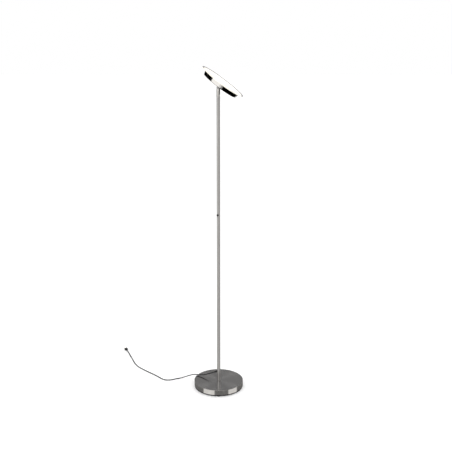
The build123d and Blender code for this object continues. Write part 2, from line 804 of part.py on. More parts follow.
with BuildPart() as clear_rim:
    land = rim_radius - rim_land
    with BuildSketch(head_section) as rim_profile:
        with BuildLine():
            Polyline(
                (rim_bore, dish_edge),
                (dish_radius, dish_edge),
                (rim_radius, rim_top - rim_edge),
                (rim_radius, rim_top),
                (land, rim_top),
                (rim_bore, rim_top - rim_slope * (land - rim_bore)),
                close=True,
            )
        make_face()
        fillet(rim_profile.vertices().group_by(Axis.X)[-1], rim_rounding)
    revolve(axis=head_axis)
clear_rim.part.label = "clear_rim"
export_step(clear_rim.part, "parts/clear_rim.step")

with BuildPart() as opal_cover:
    rim_seat = rim_top - rim_slope * (land - rim_bore) + opal_slack
    opal_bore = opal_spigot_radius - opal_wall
    opal_low = dish_edge - opal_spigot
    opal_under = opal_top - opal_wall
    shoulder = rim_seat + rim_slope * (opal_radius - rim_bore)
    with BuildSketch(head_section) as opal_profile:
        with BuildLine():
            Polyline(
                (0, opal_top),
                (opal_radius, opal_top),
                (opal_radius, shoulder),
                (opal_spigot_radius, rim_seat - rim_slope * (rim_bore - opal_spigot_radius)),
                (opal_spigot_radius, opal_low),
                (opal_bore, opal_low),
                (opal_bore, rim_seat + opal_wall),
                (opal_bore + (opal_under - rim_seat - opal_wall) / rim_slope, opal_under),
                (0, opal_under),
                close=True,
            )
        make_face()
        fillet(opal_profile.vertices().group_by(Axis.Y)[-1].sort_by(Axis.X)[-1], opal_rounding)
    revolve(axis=head_axis)
opal_cover.part.label = "opal_cover"
export_step(opal_cover.part, "parts/opal_cover.step")

# --- leads, mains cord and plug ---------------------------------------------------------

lead_start = tuple(Vector(*exit_point) - Vector(*exit_way) * gland_inside)
lead_inset = pole_radius - gland_inside * cos(radians(exit_fall))
lead_turn = (0, 0, lead_start[2] + tan(radians(exit_fall)) * lead_inset)
lead_route = [lead_start, lead_turn, (0, 0, housing_foot)]
with BuildPart() as mains_lead:
    with BuildLine():
        FilletPolyline(*lead_route, radius=cord_diameter)
    with BuildSketch(Plane(origin=lead_start, z_dir=tuple(Vector(*exit_way) * -1))):
        Circle(cord_diameter / 2)
    sweep()
mains_lead.part.label = "mains_lead"
export_step(mains_lead.part, "parts/mains_lead.step")

with BuildPart() as head_lead:
    with BuildSketch(Plane.XY.offset(housing_head)):
        Circle(lead_hole - loose_gap)
    extrude(amount=pivot_height - fork_floor - head_lead_end - housing_head)
head_lead.part.label = "head_lead"
export_step(head_lead.part, "parts/head_lead.step")

with BuildPart() as mains_cord:
    cord_radii = bend_radii(cord_route)
    with BuildLine() as cord_path:
        FilletPolyline(*cord_route, radius=cord_radii)
    with BuildSketch(Plane(origin=gland_tip, z_dir=cord_path.line % 0)):
        Circle(cord_diameter / 2)
    sweep()
mains_cord.part.label = "mains_cord"
export_step(mains_cord.part, "parts/mains_cord.step")
cord_length = sum(edge.length for edge in cord_path.edges())
cord_section = pi * cord_diameter**2 / 4
print("cord radii, mm:", [round(radius) for radius in cord_radii])
print("cord length, mm:", round(cord_length))
print("cord volume over section times length:", mains_cord.part.volume / cord_section / cord_length)

with BuildPart() as plug_body:
    with BuildSketch(plug_back):
        RectangleRounded(plug_tail, plug_tail, plug_tail / 2 - fit_gap)
    with BuildSketch(plug_back.offset(plug_neck_place)):
        RectangleRounded(plug_neck_width, plug_neck_height, plug_neck_corner)
    with BuildSketch(plug_back.offset(plug_shoulder)):
        RectangleRounded(plug_width, plug_height, plug_corner)
    with BuildSketch(plug_back.offset(plug_length)):
        RectangleRounded(plug_width - plug_taper, plug_height - plug_taper, plug_corner)
    loft(ruled=True)
plug_body.part.label = "plug_body"
export_step(plug_body.part, "parts/plug_body.step")

with BuildPart() as plug_pins:
    with BuildSketch(plug_back.offset(plug_length)):
        with GridLocations(pin_spacing, 0, 2, 1):
            Rectangle(pin_thickness, pin_width)
    extrude(amount=pin_length)
    tips = plug_pins.faces().filter_by(plug_axis).sort_by(plug_axis)[-2:]
    corners = [edge for tip in tips for edge in tip.edges().filter_by(Axis(plug_end, plug_side))]
    fillet(corners, pin_rounding)
plug_pins.part.label = "plug_pins"
export_step(plug_pins.part, "parts/plug_pins.step")
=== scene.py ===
import json
import math

import bmesh
import bpy
import numpy as np
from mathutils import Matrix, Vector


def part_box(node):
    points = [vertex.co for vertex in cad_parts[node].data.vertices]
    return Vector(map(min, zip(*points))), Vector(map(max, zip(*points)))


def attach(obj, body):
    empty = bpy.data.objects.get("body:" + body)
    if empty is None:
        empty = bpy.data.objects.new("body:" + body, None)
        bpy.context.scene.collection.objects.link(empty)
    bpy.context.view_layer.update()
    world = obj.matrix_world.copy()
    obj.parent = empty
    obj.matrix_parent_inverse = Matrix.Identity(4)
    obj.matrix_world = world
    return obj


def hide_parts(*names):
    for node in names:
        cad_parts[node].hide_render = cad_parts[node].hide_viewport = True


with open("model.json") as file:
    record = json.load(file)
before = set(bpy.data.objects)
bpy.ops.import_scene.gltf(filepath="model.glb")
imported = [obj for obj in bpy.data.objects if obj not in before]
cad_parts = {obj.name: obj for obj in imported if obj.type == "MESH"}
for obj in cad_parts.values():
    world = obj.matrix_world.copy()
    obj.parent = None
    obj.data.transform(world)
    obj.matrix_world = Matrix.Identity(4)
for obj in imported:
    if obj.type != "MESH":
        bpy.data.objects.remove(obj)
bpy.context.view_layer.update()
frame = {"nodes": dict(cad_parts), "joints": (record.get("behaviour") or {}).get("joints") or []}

mm = 0.001
scene = bpy.context.scene

# The lamp stands at the origin, its head leans towards +X, and a viewer in front looks along +Y.


def linear(hexColour):
    # an sRGB hex value as linear red, green, blue and full alpha
    parts = [int(hexColour[i:i + 2], 16) / 255 for i in (1, 3, 5)]
    return [c / 12.92 if c <= 0.04045 else ((c + 0.055) / 1.055) ** 2.4 for c in parts] + [1.0]


def addNode(tree, kind, values={}, links={}, **settings):
    # one node: its settings, its constant inputs, and its links from other nodes' outputs
    made = tree.nodes.new(kind)
    for name, value in settings.items():
        setattr(made, name, value)
    for name, value in values.items():
        made.inputs[name].default_value = value
    for name, output in links.items():
        tree.links.new(output, made.inputs[name])
    return made


cameraSetup = {
    "place": (0.020, -4.7956, 2.3992),
    "pitch": 73.546,  # degrees up from straight down
    "lens": 71.17,  # millimetres on a 36 mm sensor
    "shift": 0.00866,  # share of the frame's width
}


def makeCamera(setup):
    data = bpy.data.cameras.new("camera")
    data.lens = setup["lens"]
    data.sensor_width = 36
    data.shift_x = setup["shift"]
    data.clip_end = 100
    camera = bpy.data.objects.new("camera", data)
    camera.location = setup["place"]
    camera.rotation_euler = (math.radians(setup["pitch"]), 0, 0)
    scene.collection.objects.link(camera)
    scene.camera = camera


makeCamera(cameraSetup)
print("camera placed")


def newSurface(name, colour, roughness, metallic=0.0, **sockets):
    # a Principled surface whose plain numbers sit on its own sockets
    material = bpy.data.materials.new(name)
    material.use_nodes = True
    tree = material.node_tree
    tree.nodes.clear()
    values = {"Base Color": linear(colour), "Roughness": roughness, "Metallic": metallic}
    values.update(sockets)
    shader = addNode(tree, "ShaderNodeBsdfPrincipled", values)
    addNode(tree, "ShaderNodeOutputMaterial", links={"Surface": shader.outputs["BSDF"]})
    return material, tree, shader


noiseSpan = (0.3, 0.7)  # nearly all of a noise's values lie between these


def addGrain(tree, shader, vector, cycles, rough=None, tones=None, bump=None, detail=2.0):
    # one noise of that many cycles a metre gives the surface its roughness range, tones and relief
    noise = addNode(tree, "ShaderNodeTexNoise", {"Scale": cycles, "Detail": detail}, {"Vector": vector})
    factor = noise.outputs[0]
    if rough:
        spread = addNode(
            tree, "ShaderNodeMapRange",
            {"From Min": noiseSpan[0], "From Max": noiseSpan[1], "To Min": rough[0], "To Max": rough[1]},
            {"Value": factor},
        )
        tree.links.new(spread.outputs["Result"], shader.inputs["Roughness"])
    if tones:
        ramp = addNode(tree, "ShaderNodeValToRGB", links={"Fac": factor})
        ramp.color_ramp.elements[0].position = noiseSpan[0]
        ramp.color_ramp.elements[0].color = linear(tones[0])
        ramp.color_ramp.elements[1].position = noiseSpan[1]
        ramp.color_ramp.elements[1].color = linear(tones[1])
        tree.links.new(ramp.outputs["Color"], shader.inputs["Base Color"])
    if bump:
        relief = addNode(tree, "ShaderNodeBump", {"Distance": bump}, {"Height": factor})
        tree.links.new(relief.outputs["Normal"], shader.inputs["Normal"])


def satinNickel():
    # Nickel plate over a lengthwise-ground steel tube: fine lines along it, soft grey reflections.
    # Real grinding lines are 0.1 mm apart; these are 1 mm so that they show.
    material, tree, shader = newSurface("satinNickelBrushed", "#b9b7b4", 0.3, 1.0)
    coordinates = addNode(tree, "ShaderNodeTexCoord")
    lines = addNode(
        tree, "ShaderNodeMapping", {"Scale": (1.0, 1.0, 0.02)}, {"Vector": coordinates.outputs["Object"]},
    )
    addGrain(tree, shader, lines.outputs["Vector"], 1000, (0.26, 0.36), ("#b3b1ae", "#bebcb9"), 0.02 * mm)
    return material


def polishedNickel():
    # Buffed nickel plate: a near mirror with faint wiping marks that soften it here and there.
    material, tree, shader = newSurface("polishedNickel", "#cbc8c3", 0.06, 1.0)
    coordinates = addNode(tree, "ShaderNodeTexCoord")
    marks = addNode(
        tree, "ShaderNodeMapping", {"Scale": (1.0, 1.0, 0.4)}, {"Vector": coordinates.outputs["Object"]},
    )
    addGrain(tree, shader, marks.outputs["Vector"], 60, (0.04, 0.09), ("#c8c5c0", "#cecbc7"))
    return material


def circularBrushedNickel():
    # The top of the base is brushed in rings round the pole, so light fans out from its centre.
    material, tree, shader = newSurface(
        "circularBrushedNickel", "#bcbab9", 0.24, 1.0, **{"Anisotropic": 1.0, "Anisotropic Rotation": 0.25},
    )
    tangent = addNode(tree, "ShaderNodeTangent", direction_type="RADIAL", axis="Z")
    tree.links.new(tangent.outputs["Tangent"], shader.inputs["Tangent"])
    coordinates = addNode(tree, "ShaderNodeTexCoord")
    apart = addNode(tree, "ShaderNodeSeparateXYZ", links={"Vector": coordinates.outputs["Object"]})
    flat = addNode(tree, "ShaderNodeCombineXYZ", links={"X": apart.outputs["X"], "Y": apart.outputs["Y"]})
    radius = addNode(tree, "ShaderNodeVectorMath", links={0: flat.outputs["Vector"]}, operation="LENGTH")
    # rings every 1.2 mm, ten times the real grit marks, so that they show
    noise = addNode(
        tree, "ShaderNodeTexNoise", {"Scale": 830.0, "Detail": 3.0}, {"W": radius.outputs["Value"]},
        noise_dimensions="1D",
    )
    rough = addNode(
        tree, "ShaderNodeMapRange",
        {"From Min": noiseSpan[0], "From Max": noiseSpan[1], "To Min": 0.21, "To Max": 0.27},
        {"Value": noise.outputs[0]},
    )
    tree.links.new(rough.outputs["Result"], shader.inputs["Roughness"])
    relief = addNode(tree, "ShaderNodeBump", {"Distance": 0.015 * mm}, {"Height": noise.outputs[0]})
    tree.links.new(relief.outputs["Normal"], shader.inputs["Normal"])
    return material


def turnedMetal(name, colour, tones, roughness):
    # Machined metal: fine tool rings round it and a soft sheen.
    material, tree, shader = newSurface(name, colour, roughness, 1.0)
    coordinates = addNode(tree, "ShaderNodeTexCoord")
    rings = addNode(
        tree, "ShaderNodeMapping", {"Scale": (0.05, 0.05, 1.0)}, {"Vector": coordinates.outputs["Object"]},
    )
    spread = (roughness - 0.06, roughness + 0.06)
    addGrain(tree, shader, rings.outputs["Vector"], 1500, spread, tones, 0.01 * mm)
    return material


def mouldedPlastic(name, tones, roughness, grit=2500, relief=0.02):
    # Injection-moulded plastic or rubber: an even, very fine spark-eroded grain.
    material, tree, shader = newSurface(name, tones[0], roughness)
    coordinates = addNode(tree, "ShaderNodeTexCoord")
    addGrain(
        tree, shader, coordinates.outputs["Object"], grit, (roughness - 0.05, roughness + 0.07), tones,
        relief * mm,
    )
    return material


def castIron():
    # Sand-cast iron with a thin black dip: pitted, dull and uneven.
    material, tree, shader = newSurface("castIronDipped", "#2c2c2d", 0.7, 0.3)
    coordinates = addNode(tree, "ShaderNodeTexCoord")
    addGrain(
        tree, shader, coordinates.outputs["Object"], 600, (0.6, 0.85), ("#222223", "#39393a"), 0.3 * mm, 6.0,
    )
    return material


def clearAcrylic():
    # Cast clear acrylic over the light: its broad faces glow a faintly warm white.
    material, tree, shader = newSurface(
        "clearAcrylicLit", "#f3efe6", 0.08, 0.0, IOR=1.49,
        **{"Transmission Weight": 0.2, "Emission Color": linear("#fffdf3"), "Emission Strength": 0.35},
    )
    coordinates = addNode(tree, "ShaderNodeTexCoord")
    addGrain(tree, shader, coordinates.outputs["Object"], 200, (0.06, 0.12), ("#efe9dc", "#f5f2ea"))
    return material


def acrylicPaintedShade():
    # The same acrylic painted dark with a touch of mauve: painted shade and painted reflection of dark
    # surroundings on the rim's outer band, which the light does not reach.
    material, tree, shader = newSurface(
        "clearAcrylicPaintedShade", "#6f6a72", 0.12, 0.0, IOR=1.49, **{"Transmission Weight": 0.1},
    )
    coordinates = addNode(tree, "ShaderNodeTexCoord")
    addGrain(tree, shader, coordinates.outputs["Object"], 300, (0.08, 0.18), ("#6a656d", "#756f78"))
    return material


def opalAcrylic():
    # Opal acrylic lit from behind: an even white glow, a little warmer towards its edge.
    material, tree, shader = newSurface("opalAcrylicLit", "#dcdbd7", 0.35, 0.0, IOR=1.49)
    coordinates = addNode(tree, "ShaderNodeTexCoord")
    pivotPlace = jointPlace("head_tilt")
    centred = addNode(
        tree, "ShaderNodeVectorMath", {1: tuple(-pivotPlace)}, {0: coordinates.outputs["Object"]},
        operation="ADD",
    )
    radius = addNode(tree, "ShaderNodeVectorMath", links={0: centred.outputs["Vector"]}, operation="LENGTH")
    warmth = addNode(
        tree, "ShaderNodeMapRange", {"From Min": 0.1, "From Max": 0.125}, {"Value": radius.outputs["Value"]},
    )
    ramp = addNode(tree, "ShaderNodeValToRGB", links={"Fac": warmth.outputs["Result"]})
    ramp.color_ramp.elements[0].color = linear("#fffdfb")
    ramp.color_ramp.elements[1].color = linear("#fff8dc")
    tree.links.new(ramp.outputs["Color"], shader.inputs["Emission Color"])
    shader.inputs["Emission Strength"].default_value = 0.5
    return material


def jointPlace(name):
    for joint in frame["joints"]:
        if joint["name"] == name:
            return np.array(joint["pos_m"], float)
    raise ValueError(name)


finishes = {
    "satin": satinNickel(),
    "polished": polishedNickel(),
    "ringBrushed": circularBrushedNickel(),
    "turned": turnedMetal("turnedSteel", "#a9a9ab", ("#9f9fa2", "#b3b3b5"), 0.3),
    "zinc": turnedMetal("zincPlatedSteel", "#b0b3b6", ("#a3a7ab", "#bcbec0"), 0.38),
    "aluminium": turnedMetal("plainAluminium", "#c4c5c7", ("#babbbd", "#cdced0"), 0.4),
    "spring": turnedMetal("springSteel", "#8f8f92", ("#858588", "#9a9a9d"), 0.3),
    "brass": turnedMetal("platedBrass", "#c9b98f", ("#bfae83", "#d4c59c"), 0.25),
    "castIron": castIron(),
    "blackPlastic": mouldedPlastic("blackAbsMoulded", ("#141415", "#1d1d1e"), 0.38),
    "blackPaint": mouldedPlastic("blackPowderCoat", ("#131314", "#1c1c1d"), 0.5, 1200, 0.05),
    "rubber": mouldedPlastic("blackRubberMoulded", ("#0f0f10", "#1a1a1b"), 0.75, 1500, 0.04),
    "pvc": mouldedPlastic("blackPvcExtruded", ("#101011", "#19191b"), 0.42, 900, 0.02),
    "whitePlastic": mouldedPlastic("whiteAbsMoulded", ("#e6e5e1", "#f0efec"), 0.4),
    "boardGreen": mouldedPlastic("boardLacquerGreen", ("#1d4a2c", "#265a37"), 0.3, 700, 0.01),
    "boardWhite": mouldedPlastic("boardLacquerWhite", ("#e9e9e6", "#f4f4f2"), 0.35, 700, 0.01),
    "led": mouldedPlastic("ledPhosphorYellow", ("#e3c33e", "#edd25a"), 0.5, 900, 0.01),
    "clear": clearAcrylic(),
    # painted shade: a dark copy of the rim's acrylic without its glow
    "clearPaintedShade": acrylicPaintedShade(),
    "opal": opalAcrylic(),
}
print("finishes made:", len(finishes))


meshing = {
    "arcPoints": 7,
    "support": 5,  # a support point stands a fifth of the radius outside each end of an arc
    "sharp": 35,  # degrees: flatter joins are shaded smooth
    "merge": 1e-6,  # metres
    "empty": 1e-7,  # metres
}


def rounded(corners, radii):
    # a closed outline: each corner becomes an arc tangent to its two sides, or stays a point
    corners = np.array(corners, float)
    path = []
    count = len(corners)
    for i in range(count):
        before, corner, after = corners[i - 1], corners[i], corners[(i + 1) % count]
        radius = radii.get(i, 0)
        if not radius:
            path.append(corner[None])
            continue
        a = (before - corner) / np.linalg.norm(before - corner)
        b = (after - corner) / np.linalg.norm(after - corner)
        half = math.acos(np.clip(a @ b, -1, 1)) / 2
        middle = corner + (a + b) / np.linalg.norm(a + b) * radius / math.sin(half)
        start = corner + a * radius / math.tan(half) - middle
        end = corner + b * radius / math.tan(half) - middle
        turn = math.acos(np.clip(start @ end / radius**2, -1, 1))
        steps = np.linspace(0, 1, meshing["arcPoints"])[:, None]
        arc = (start * np.sin((1 - steps) * turn) + end * np.sin(steps * turn)) / math.sin(turn)
        # one support point more on each side keeps the flats' shading flat
        first = middle + start + a * radius / meshing["support"]
        last = middle + end + b * radius / meshing["support"]
        path.append(np.concatenate([[first], middle + arc, [last]]))
    return np.concatenate(path)


def axes(way):
    # two directions square to an axis, the first of them as level as can be
    way = np.array(way, float) / np.linalg.norm(way)
    side = np.cross((0, 0, 1.0), way)
    side = np.array((1.0, 0, 0)) if np.linalg.norm(side) < 1e-6 else side / np.linalg.norm(side)
    return way, side, np.cross(way, side)


def lathePoints(outline, origin, way, count):
    # point(t, angle) = origin + way * height(t) + radius(t) * (side cos angle + up sin angle)
    way, side, up = axes(way)
    angle = np.arange(count) * (2 * math.pi / count)
    spokes = np.cos(angle)[:, None] * side + np.sin(angle)[:, None] * up
    radius, height = outline[:, 0], outline[:, 1]
    return np.array(origin) + height[:, None, None] * way + radius[:, None, None] * spokes[None]


def gridMesh(name, grids, closedOutline=True):
    # each grid of points becomes quads that close round both ways, or round once with capped ends
    points, faces, start = [], [], 0
    for grid in grids:
        rows, columns = grid.shape[:2]
        last = rows if closedOutline else rows - 1
        row, column = np.meshgrid(np.arange(last), np.arange(columns), indexing="ij")
        nextRow, nextColumn = (row + 1) % rows, (column + 1) % columns
        quads = np.stack([row * columns + column, row * columns + nextColumn,
                          nextRow * columns + nextColumn, nextRow * columns + column], -1)
        points.append(grid.reshape(-1, 3))
        faces.append(quads.reshape(-1, 4) + start)
        start += rows * columns
    mesh = bpy.data.meshes.new(name)
    mesh.from_pydata(np.concatenate(points).tolist(), [], np.concatenate(faces).tolist())
    return tidyMesh(mesh)


def tidyMesh(mesh):
    # merged doubles, no empty faces, normals outwards, smooth except at real edges
    shape = bmesh.new()
    shape.from_mesh(mesh)
    bmesh.ops.remove_doubles(shape, verts=shape.verts, dist=meshing["merge"])
    bmesh.ops.dissolve_degenerate(shape, edges=shape.edges, dist=meshing["empty"])
    bmesh.ops.recalc_face_normals(shape, faces=shape.faces)
    shape.to_mesh(mesh)
    shape.free()
    mesh.polygons.foreach_set("use_smooth", np.ones(len(mesh.polygons), bool))
    mesh.set_sharp_from_angle(angle=math.radians(meshing["sharp"]))
    mesh.update()
    return mesh


def addPiece(name, mesh, finish, body, *replaced, slot=None):
    piece = bpy.data.objects.new(name, mesh)
    scene.collection.objects.link(piece)
    for material in finish if isinstance(finish, list) else [finish]:
        mesh.materials.append(material)
    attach(piece, body)
    if replaced:
        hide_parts(*replaced)
    return piece


def lathe(name, corners, radii, finish, body, *replaced, origin=(0, 0, 0), way=(0, 0, 1), count=192, slot=None):
    outline = rounded(corners, radii) * mm
    mesh = gridMesh(name, [lathePoints(outline, origin, way, count)])
    return addPiece(name, mesh, finish, body, *replaced, slot=slot)


machining = {
    "flat": 0.5,  # degrees: triangles that lie flatter than this are one face
    "sharp": 30,
    "edgeAngle": 40,
    "segments": 2,
}


def refined(node, finish, body, bevel, slot):
    # a machined CAD shape with its triangles merged into faces, its edges broken and its curves smooth
    mesh = frame["nodes"][node].data.copy()
    mesh.materials.clear()
    shape = bmesh.new()
    shape.from_mesh(mesh)
    bmesh.ops.remove_doubles(shape, verts=shape.verts, dist=meshing["merge"])
    bmesh.ops.dissolve_limit(
        shape, angle_limit=math.radians(machining["flat"]), verts=shape.verts, edges=shape.edges,
    )
    shape.to_mesh(mesh)
    shape.free()
    mesh.polygons.foreach_set("use_smooth", np.ones(len(mesh.polygons), bool))
    mesh.set_sharp_from_angle(angle=math.radians(machining["sharp"]))
    piece = addPiece(node + "_finished", mesh, finish, body, node, slot=slot)
    edge = piece.modifiers.new("brokenEdges", "BEVEL")
    edge.width = bevel * mm
    edge.segments = machining["segments"]
    edge.limit_method = "ANGLE"
    edge.angle_limit = math.radians(machining["edgeAngle"])
    edge.harden_normals = True


# lengths in the setups of the pieces are in millimetres
cordSetup = {
    "diameter": 5.6,
    "length": 837,
    "tail": 1.4,  # wall of the plug's sleeve round the cord
}
cordRoute = [
    (-27.20, 12.11, 81.36), (-55.12, 24.54, 66.45), (-88, 40, 51), (-117, 51.5, 44.8), (-146, 63, 43),
    (-174, 74, 31), (-203, 84.5, 16), (-229, 91, 4.5), (-256, 85, 3), (-284, 69, 3), (-315, 66.5, 3),
    (-340, 82, 3), (-366, 114.5, 3), (-399, 149, 3), (-436, 184, 3), (-472, 221.5, 3), (-502, 257, 3),
    (-524, 301, 3), (-541, 352, 3), (-559, 405, 3), (-579.76, 460.18, 6.3), (-591, 488, 6.3),
]


def makeCord(route, setup):
    # a NURBS line of the third order with the route's points as its control points
    curve = bpy.data.curves.new("mains_cord_line", "CURVE")
    curve.dimensions = "3D"
    curve.bevel_depth = setup["diameter"] / 2 * mm
    curve.bevel_resolution = 6
    curve.resolution_u = 16
    curve.use_fill_caps = True
    spline = curve.splines.new("NURBS")
    spline.points.add(len(route) - 1)
    for point, place in zip(spline.points, route):
        point.co = (place[0] * mm, place[1] * mm, place[2] * mm, 1)
    spline.order_u = 3
    spline.use_endpoint_u = True
    cord = bpy.data.objects.new("mains_cord_line", curve)
    scene.collection.objects.link(cord)
    curve.materials.append(finishes["pvc"])
    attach(cord, "stand")
    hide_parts("mains_cord")
    return cord


glandSetup = {
    "length": 22,
    "buried": 4,  # how far its neck reaches into the pole
    "collar": 5.6,
    "collarHeight": 3.5,
    "collarEdge": 0.8,
    "shoulder": 1.2,  # height of the step between the collar and the first ring
    "step": 1.0,
    "tip": 3.4,
    "tipEdge": 0.3,
    "rings": 6,
    "groove": 0.55,
    "round": 96,
}


def makeGlandBoot(tip, lead, setup):
    # a tapered rubber sleeve: collar against the pole, then rings with grooves between, thinner to the tip
    way = (np.array(tip) - np.array(lead)) / np.linalg.norm(np.array(tip) - np.array(lead))
    heights = [-setup["buried"], setup["collarHeight"]]
    radii = [setup["collar"], setup["collar"]]
    grooveStart = setup["collarHeight"] + setup["shoulder"]
    run = setup["length"] - grooveStart
    for ring in range(setup["rings"]):
        for share, depth in ((0.0, setup["groove"]), (0.25, 0.0), (0.75, 0.0), (1.0, setup["groove"])):
            height = grooveStart + (ring + share) * (run / setup["rings"])
            along = (height - grooveStart) / run
            radius = (setup["collar"] - setup["step"]) * (1 - along) + setup["tip"] * along
            heights.append(height)
            radii.append(radius - depth if height < setup["length"] - 0.1 else radius - setup["tipEdge"])
    corners = [(0, heights[0])] + list(zip(radii, heights)) + [(0, heights[-1])]
    exitPlace = (np.array(tip) + way * setup["length"]) * mm
    return lathe("gland_boot", corners, {2: setup["collarEdge"]}, finishes["rubber"], "stand", "cord_gland",
                 origin=exitPlace, way=-way, count=setup["round"], slot="black_rubber")


plugSetup = {
    "length": 26.0,
    "width": 20.0,
    "height": 12.0,
    "sleeve": 3,  # length of the straight sleeve round the cord
    "sleeveSwell": 1,
    "neckPlace": 8.0,
    "neckWidth": 10.5,
    "neckHeight": 9.6,
    "shoulder": 15.0,
    "taper": 1.0,
    "faceRound": 2,
    "faceLoss": 0.6,
    "powers": [2.0, 2.0, 2.4, 4.0, 4.5, 4.5],  # 2 is an ellipse, larger is squarer
    "rows": 50,
    "faceRows": 9,
    "smoothing": 7,  # rows that each width is averaged over
    "round": 72,
}


def makePlugBody(end, way, cordSizes, setup):
    # section(t) is a superellipse whose width and height swell from the cord to the pins' face
    tail = cordSizes["diameter"] + 2 * cordSizes["tail"]
    length, taper, loss, faceRound = setup["length"], setup["taper"], setup["faceLoss"], setup["faceRound"]
    knots = [0, setup["sleeve"], setup["neckPlace"], setup["shoulder"], length - faceRound, length]
    width, height = setup["width"], setup["height"]
    widths = [tail, tail + setup["sleeveSwell"], setup["neckWidth"], width, width - taper, width - taper - loss]
    heights = [tail, tail, setup["neckHeight"], height, height - taper, height - taper - loss]
    face = length - faceRound + faceRound * np.sin(np.linspace(0.1, 1, setup["faceRows"]) * math.pi / 2)
    t = np.concatenate([np.linspace(0, length - faceRound, setup["rows"]), face])
    wide, tall = np.interp(t, knots, widths), np.interp(t, knots, heights)
    blend = np.ones(setup["smoothing"]) / setup["smoothing"]
    inner = slice(4, setup["rows"] - 4)  # the sleeve's and the face's own rows stay as they are
    wide[inner] = np.convolve(wide, blend, "same")[inner]
    tall[inner] = np.convolve(tall, blend, "same")[inner]
    power = np.interp(t, knots, setup["powers"])
    angle = np.linspace(0, 2 * math.pi, setup["round"], endpoint=False)
    cosine, sine = np.cos(angle)[None], np.sin(angle)[None]
    across = np.sign(cosine) * np.abs(cosine) ** (2 / power[:, None]) * wide[:, None] / 2
    upward = np.sign(sine) * np.abs(sine) ** (2 / power[:, None]) * tall[:, None] / 2
    side = np.array((way[1], -way[0], 0))
    grid = (np.array(end)[None, None] + t[:, None, None] * np.array(way) + across[..., None] * side
            + upward[..., None] * np.array((0, 0, 1.0)))
    # both ends close in on the axis
    first = np.repeat((np.array(end) + way * t[0])[None, None], len(angle), 1)
    last = np.repeat((np.array(end) + way * t[-1])[None, None], len(angle), 1)
    grid = np.concatenate([first, grid, last]) * mm
    mesh = gridMesh("plug_moulding", [grid], closedOutline=False)
    return addPiece("plug_moulding", mesh, finishes["pvc"], "stand", "plug_body", slot="black_pvc")


bladeSetup = {
    "thickness": 1.5,
    "width": 6.3,
    "length": 16.0,
    "spacing": 12.7,
    "edge": 0.25,
    "tip": 1.5,  # radius of the rounding at the free end
    "tipRows": 7,
    "root": 0.5,  # how far each blade starts inside the plug
}


def makePlugPins(end, way, plugLength, setup):
    # two flat blades with broken edges: each is a rounded outline across, drawn out along its length
    side = np.array((way[1], -way[0], 0))
    halfThick, edge, tip, length = setup["thickness"] / 2, setup["edge"], setup["tip"], setup["length"]
    steps = [(-setup["root"], 0.0), (length - tip, 0.0)]
    steps += [(length - tip + tip * math.sin(turn), tip * (1 - math.cos(turn)))
              for turn in np.linspace(0.2, math.pi / 2, setup["tipRows"])]
    grids = []
    for place in (-0.5, 0.5):
        root = (np.array(end) + side * setup["spacing"] * place + way * plugLength)
        rows = []
        for along, lost in steps:
            halfWide = setup["width"] / 2 - lost
            outline = rounded([(-halfThick, -halfWide), (halfThick, -halfWide), (halfThick, halfWide),
                               (-halfThick, halfWide)], {0: edge, 1: edge, 2: edge, 3: edge})
            rows.append(root + way * along + outline[:, :1] * side + outline[:, 1:] * np.array((0, 0, 1.0)))
        first = np.repeat((root - way * setup["root"])[None], len(rows[0]), 0)
        last = np.repeat((root + way * length)[None], len(rows[0]), 0)
        grids.append(np.stack([first] + rows + [last]) * mm)
    mesh = gridMesh("plug_blades", grids, closedOutline=False)
    return addPiece("plug_blades", mesh, finishes["brass"], "stand", "plug_pins", slot="plated_brass")


cord = makeCord(cordRoute, cordSetup)
plugEnd = np.array(cordRoute[-1], float)
plugWay = plugEnd - np.array(cordRoute[-2])
plugWay = plugWay / np.linalg.norm(plugWay)
gland = makeGlandBoot(cordRoute[0], cordRoute[1], glandSetup)
plug = makePlugBody(plugEnd, plugWay, cordSetup, plugSetup)
pins = makePlugPins(plugEnd, plugWay, plugSetup["length"], bladeSetup)
print("cord, plug and strain relief made")


baseSetup = {
    "coverWall": 1.2,
    "coverEdge": 0.5,
    "coverFoot": 0.3,
    "boltHole": 5.3,
    "trayWall": 2.5,
    "trayFloor": 2.0,
    "trayEdge": 1.5,
    "trayShoulder": 0.4,
    "lipEdge": 0.3,
    "lipGap": 0.3,
    "opening": 20.0,
    "padRadius": 12.5,
    "padCount": 6,
    "padInset": 15.5,
    "padEdge": 0.8,
    "padTop": 0.5,
    "padRound": 64,
    "round": 360,
}


def makeBaseCover(setup):
    low, high = (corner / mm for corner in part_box("base_cover"))
    side, top, foot = high.x, high.z, low.z
    wall, edge, hole = setup["coverWall"], setup["coverEdge"], setup["boltHole"]
    corners = [(hole, top), (side, top), (side, foot), (side - wall, foot), (side - wall, top - wall),
               (hole, top - wall)]
    cover = lathe("base_cover_shell", corners, {1: edge, 2: setup["coverFoot"]},
                  [finishes["polished"], finishes["ringBrushed"]], "stand", "base_cover", count=setup["round"],
                  slot="satin_nickel")
    # the flat top is ring brushed, and the rounded edge and the side are polished
    mesh = cover.data
    centres = np.zeros(len(mesh.polygons) * 3)
    normals = np.zeros(len(mesh.polygons) * 3)
    mesh.polygons.foreach_get("center", centres)
    mesh.polygons.foreach_get("normal", normals)
    flat = (centres[2::3] > (top - 0.01) * mm) & (normals[2::3] > 0.99)
    mesh.polygons.foreach_set("material_index", flat.astype(np.int32))


